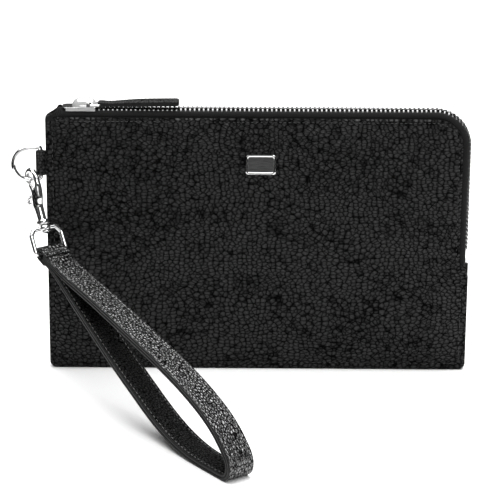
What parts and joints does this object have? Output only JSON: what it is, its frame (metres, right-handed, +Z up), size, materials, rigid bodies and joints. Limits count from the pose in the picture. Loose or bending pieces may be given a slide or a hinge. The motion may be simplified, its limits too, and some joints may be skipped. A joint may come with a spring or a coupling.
{
  "type": "wristlet wallet",
  "caption": "Flat zip-round leather wallet with a wrist strap looped through a swivel snap hook that hangs from a D-ring on a side tab.",
  "frame": {"origin": "middle of the bottom edge that the wallet stands on", "axes": "+X along the width away from the ring tab, -Y out of the front face with the badge, +Z up"},
  "size_m": [0.2595, 0.1735, 0.1604],
  "materials": {
    "panel_leather": "pebbled grain, satin",
    "strap_leather": "fine grain, glossy, painted edges",
    "lining_cloth": "plain weave, matte",
    "zip_tape": "twill, matte",
    "filler_fabric": "bonded, matte",
    "zip_metal": "polished",
    "hook_metal": "polished",
    "badge_metal": "brushed"
  },
  "bodies": {
    "wallet": {"front_panel": "panel_leather", "back_panel": "panel_leather", "front_lining": "lining_cloth", "back_lining": "lining_cloth", "seam_welt": "panel_leather", "front_tape": "zip_tape", "back_tape": "zip_tape", "front_teeth": "zip_metal", "back_teeth": "zip_metal", "top_stops": "zip_metal", "bottom_stop": "zip_metal", "ring_tab": "strap_leather", "badge_plate": "badge_metal"},
    "mouth": {"front_panel_mouth": "panel_leather", "front_lining_mouth": "lining_cloth", "front_tape_mouth": "zip_tape", "front_teeth_mouth": "zip_metal"},
    "slider": {"slider_body": "zip_metal", "slider_cap": "zip_metal"},
    "link": {"puller_link": "zip_metal"},
    "pull": {"pull_tab": "strap_leather"},
    "ring": {"d_ring": "hook_metal"},
    "hook": {"hook_body": "hook_metal", "gate_pin": "hook_metal", "gate_spring": "hook_metal", "swivel_rivet": "hook_metal"},
    "gate": {"hook_gate": "hook_metal"},
    "eye": {"strap_eye": "hook_metal"},
    "strap": {"strap_outer": "strap_leather", "strap_filler": "filler_fabric", "strap_inner": "strap_leather", "strap_keeper": "strap_leather"}
  },
  "joints": [
    {"name": "mouth_fold", "type": "hinge", "parent": "wallet", "child": "mouth", "pos_m": [0, -0.0082, 0.15], "axis": [0.8192, 0, -0.5735], "range_deg": [0, 20], "stiffness_Nm_per_rad": 0.12},
    {"name": "zip_slide", "type": "slide", "parent": "wallet", "child": "slider", "axis": [1, 0, 0], "range_m": [0, 0.188]},
    {"name": "link_hinge", "type": "hinge", "parent": "slider", "child": "link", "pos_m": [-0.0948, 0, 0.1564], "axis": [0, -1, 0], "range_deg": [0, 102]},
    {"name": "pull_hinge", "type": "hinge", "parent": "link", "child": "pull", "pos_m": [-0.0893, 0, 0.1564], "axis": [0, -1, 0], "range_deg": [0, 60]},
    {"name": "ring_hinge", "type": "hinge", "parent": "wallet", "child": "ring", "pos_m": [-0.1232, 0, 0.122], "axis": [0, 0, 1], "range_deg": [-100, 4]},
    {"name": "hook_swing", "type": "hinge", "parent": "ring", "child": "hook", "pos_m": [-0.1288, -0.0015, 0.1128], "axis": [-0.9659, -0.2588, 0], "range_deg": [-2, 35]},
    {"name": "gate_hinge", "type": "hinge", "parent": "hook", "child": "gate", "pos_m": [-0.12733, -0.00355, 0.10348], "axis": [0.8, 0.6, -0.0054], "range_deg": [0, 26], "stiffness_Nm_per_rad": 0.02, "springref_deg": -20.05},
    {"name": "swivel", "type": "hinge", "parent": "hook", "child": "eye", "pos_m": [-0.11673, -0.01794, 0.075], "axis": [-0.2812, 0.3828, 0.88], "range_deg": [-110, 12]},
    {"name": "strap_hinge", "type": "hinge", "parent": "eye", "child": "strap", "pos_m": [-0.11673, -0.01794, 0.075], "axis": [0.8059, 0.592, 0], "range_deg": [-60, 50]}
  ]
}
